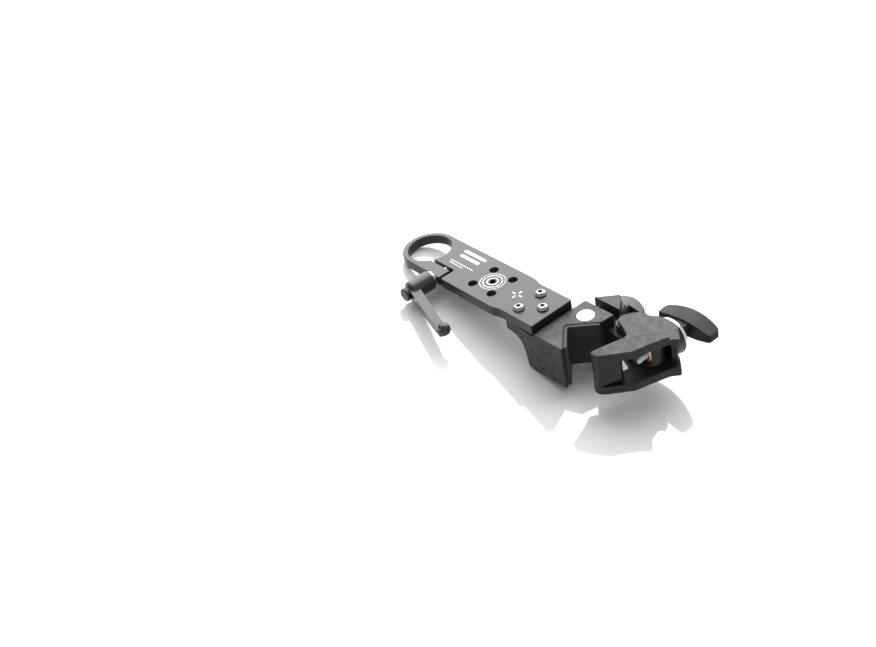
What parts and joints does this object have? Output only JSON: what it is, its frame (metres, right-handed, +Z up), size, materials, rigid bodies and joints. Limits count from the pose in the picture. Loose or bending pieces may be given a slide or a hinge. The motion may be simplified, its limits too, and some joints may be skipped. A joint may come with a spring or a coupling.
{
  "type": "film grip clamp with accessory plate",
  "caption": "Black V-jaw screw clamp bolted under a flat accessory plate whose far end is a split pole ring closed by a ratchet lever; T-handle screw swings the hinged jaw.",
  "frame": {"origin": "centre of the bounding box's base, on the surface the holder rests on", "axes": "+X along the plate from the pole ring towards the screw clamp, +Y towards the hinge and T-handle side, +Z up; at rest the plate is tilted by about 14 degrees because the deep clamp end lies on its lower edge and the stud pin while the ring end rests on its rim"},
  "size_m": [0.2948, 0.1626, 0.0687],
  "materials": {
    "anodised_aluminium": "satin black anodised, edges slightly bright",
    "cast_black": "die cast, fine-textured black powder coat",
    "black_plastic": "moulded glass-filled nylon, satin black",
    "lever_coat": "die cast lever, smooth black powder coat",
    "grey_plastic": "moulded dark grey liner",
    "polished_metal": "bright polished",
    "steel": "plain turned steel",
    "brass": "turned brass"
  },
  "bodies": {
    "plate": {"accessory_plate": "anodised_aluminium", "plate_screw_1": "polished_metal", "plate_screw_2": "polished_metal", "plate_screw_3": "polished_metal", "fixed_jaw": "cast_black", "jaw_liner": "grey_plastic"},
    "stud": {"mounting_stud": "polished_metal"},
    "lock_pad": {"lock_pad": "brass"},
    "lock": {"lock_screw": "steel", "lock_knob": "black_plastic"},
    "lever_stud": {"lever_insert": "steel", "lever_screw": "steel", "lever_spring": "steel"},
    "lever": {"lever_handle": "lever_coat", "lever_cap": "black_plastic"},
    "jaw": {"moving_jaw": "cast_black", "hinge_pin": "steel", "hinge_clip": "steel"},
    "barrel": {"barrel_nut": "brass"},
    "pad": {"saddle_pad": "black_plastic", "thrust_washer": "polished_metal"},
    "handle": {"t_handle": "black_plastic", "handle_pin": "steel", "clamp_rod": "steel"}
  },
  "joints": [
    {"name": "stud_slide", "type": "slide", "parent": "plate", "child": "stud", "axis": [-0.2148, -0.1054, 0.9709], "range_m": [0, 0.038]},
    {"name": "lock_slide", "type": "slide", "parent": "plate", "child": "lock_pad", "axis": [0, 0.9942, 0.1079], "range_m": [0, 0.00347]},
    {"name": "lock_turn", "type": "hinge", "parent": "lock_pad", "child": "lock", "pos_m": [0.06538, 0.05905, 0.03639], "axis": [0, 0.9942, 0.1079], "range_deg": [0, 1001]},
    {"name": "lever_turn", "type": "hinge", "parent": "plate", "child": "lever_stud", "pos_m": [-0.0859, -0.03923, 0.01516], "axis": [0, -0.9942, -0.1079], "range_deg": [-30, 150]},
    {"name": "lever_lift", "type": "slide", "parent": "lever_stud", "child": "lever", "axis": [0, -0.9942, -0.1079], "range_m": [0, 0.003], "stiffness_N_per_m": 500, "springref_m": -0.003},
    {"name": "jaw_swing", "type": "hinge", "parent": "plate", "child": "jaw", "pos_m": [0.09272, 0.02559, 0.03881], "axis": [-0.2148, -0.1054, 0.9709], "range_deg": [-13, 25]},
    {"name": "rod_swing", "type": "hinge", "parent": "plate", "child": "barrel", "pos_m": [0.11909, 0.02497, 0.04457], "axis": [-0.2148, -0.1054, 0.9709], "range_deg": [-6.5, 12.5]},
    {"name": "rod_travel", "type": "slide", "parent": "barrel", "child": "pad", "axis": [0, 0.9942, 0.1079], "range_m": [-0.00605, 0.01165]},
    {"name": "handle_spin", "type": "hinge", "parent": "pad", "child": "handle", "pos_m": [0.11909, 0.05778, 0.04813], "axis": [0, 0.9942, 0.1079], "range_deg": [-1745, 3356]}
  ],
  "couplings": [
    {"joint": "jaw_swing", "follows": "rod_travel", "rad_per_m": 37.455},
    {"joint": "rod_swing", "follows": "rod_travel", "rad_per_m": 18.728},
    {"joint": "handle_spin", "follows": "rod_travel", "rad_per_m": 5026.5},
    {"joint": "lock_turn", "follows": "lock_slide", "rad_per_m": 5026.5}
  ]
}
